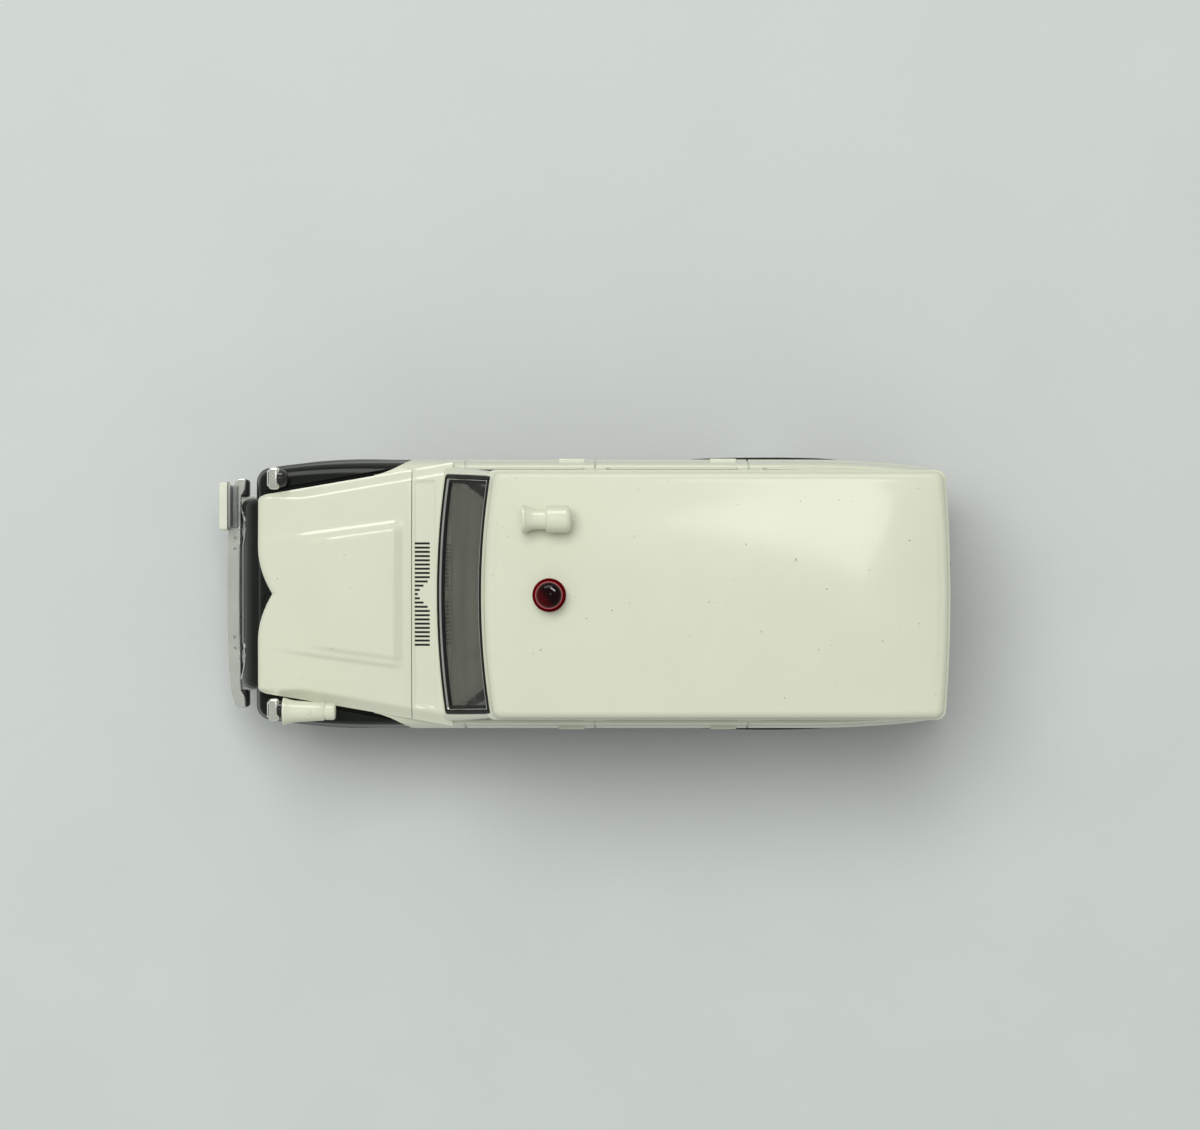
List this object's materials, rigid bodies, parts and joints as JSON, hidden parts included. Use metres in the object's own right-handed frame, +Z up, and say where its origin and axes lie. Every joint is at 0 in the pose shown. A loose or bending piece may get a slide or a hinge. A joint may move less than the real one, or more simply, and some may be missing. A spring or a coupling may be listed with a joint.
{
  "type": "die-cast suv",
  "caption": "Small die-cast four-door off-road wagon in patrol trim, with free-rolling sprung wheels, a roof beacon, siren horns, glazing and an interior.",
  "frame": {"origin": "on the ground, under the middle of the bounding box", "axes": "+X towards the tail, so the nose points along -X; +Y towards the wagon's right side; +Z up"},
  "size_m": [0.0732, 0.0272, 0.0319],
  "materials": {
    "body_paint": "gloss enamel in two colours on a zinc casting",
    "clear_glazing": "clear moulding, slightly smoked",
    "interior_plastic": "matt moulding",
    "black_plastic": "satin moulding",
    "bare_steel": "bare drawn steel",
    "bright_plating": "bright plating",
    "plate_white": "satin white",
    "clear_lens": "clear",
    "siren_white": "gloss white",
    "red_lens": "clear red",
    "silver_plastic": "silver plated",
    "tyre_rubber": "matt rubber"
  },
  "bodies": {
    "car": {"body_casting": "body_paint", "window_glazing": "clear_glazing", "interior_tub": "interior_plastic", "dashboard": "interior_plastic", "steering_wheel": "black_plastic", "chassis_base": "black_plastic", "chassis_screw_front": "bare_steel", "chassis_screw_rear": "bare_steel", "front_leaf_strip": "bare_steel", "rear_leaf_strip": "bare_steel", "front_bumper": "bright_plating", "plate_bracket": "bright_plating", "front_plate": "plate_white", "grille_insert": "bright_plating", "headlamp_lens_left": "clear_lens", "headlamp_lens_right": "clear_lens", "turn_signal_left": "bright_plating", "turn_signal_right": "bright_plating", "fender_siren": "siren_white", "roof_siren": "siren_white", "beacon_lens": "red_lens", "rear_bumper_left": "bright_plating", "rear_bumper_right": "bright_plating", "tail_lamp_left": "red_lens", "tail_lamp_right": "red_lens", "rear_plate": "plate_white", "tailgate_handle": "bright_plating"},
    "front_axle": {"front_axle": "bare_steel"},
    "rear_axle": {"rear_axle": "bare_steel"},
    "wheel_front_left": {"rim_front_left": "silver_plastic", "tyre_front_left": "tyre_rubber"},
    "wheel_front_right": {"rim_front_right": "silver_plastic", "tyre_front_right": "tyre_rubber"},
    "wheel_rear_left": {"rim_rear_left": "silver_plastic", "tyre_rear_left": "tyre_rubber"},
    "wheel_rear_right": {"rim_rear_right": "silver_plastic", "tyre_rear_right": "tyre_rubber"}
  },
  "joints": [
    {"name": "front_axle_travel", "type": "slide", "parent": "car", "child": "front_axle", "axis": [0, 0, 1], "range_m": [0, 0.0008], "stiffness_N_per_m": 300, "springref_m": -0.002, "deforming": ["front_leaf_strip"]},
    {"name": "rear_axle_travel", "type": "slide", "parent": "car", "child": "rear_axle", "axis": [0, 0, 1], "range_m": [0, 0.0008], "stiffness_N_per_m": 300, "springref_m": -0.002, "deforming": ["rear_leaf_strip"]},
    {"name": "front_left_wheel_spin", "type": "hinge", "parent": "front_axle", "child": "wheel_front_left", "pos_m": [-0.024, -0.0109, 0.006], "axis": [0, 1, 0], "continuous": true},
    {"name": "front_right_wheel_spin", "type": "hinge", "parent": "front_axle", "child": "wheel_front_right", "pos_m": [-0.024, 0.0109, 0.006], "axis": [0, 1, 0], "continuous": true},
    {"name": "rear_left_wheel_spin", "type": "hinge", "parent": "rear_axle", "child": "wheel_rear_left", "pos_m": [0.0182, -0.0109, 0.006], "axis": [0, 1, 0], "continuous": true},
    {"name": "rear_right_wheel_spin", "type": "hinge", "parent": "rear_axle", "child": "wheel_rear_right", "pos_m": [0.0182, 0.0109, 0.006], "axis": [0, 1, 0], "continuous": true}
  ]
}
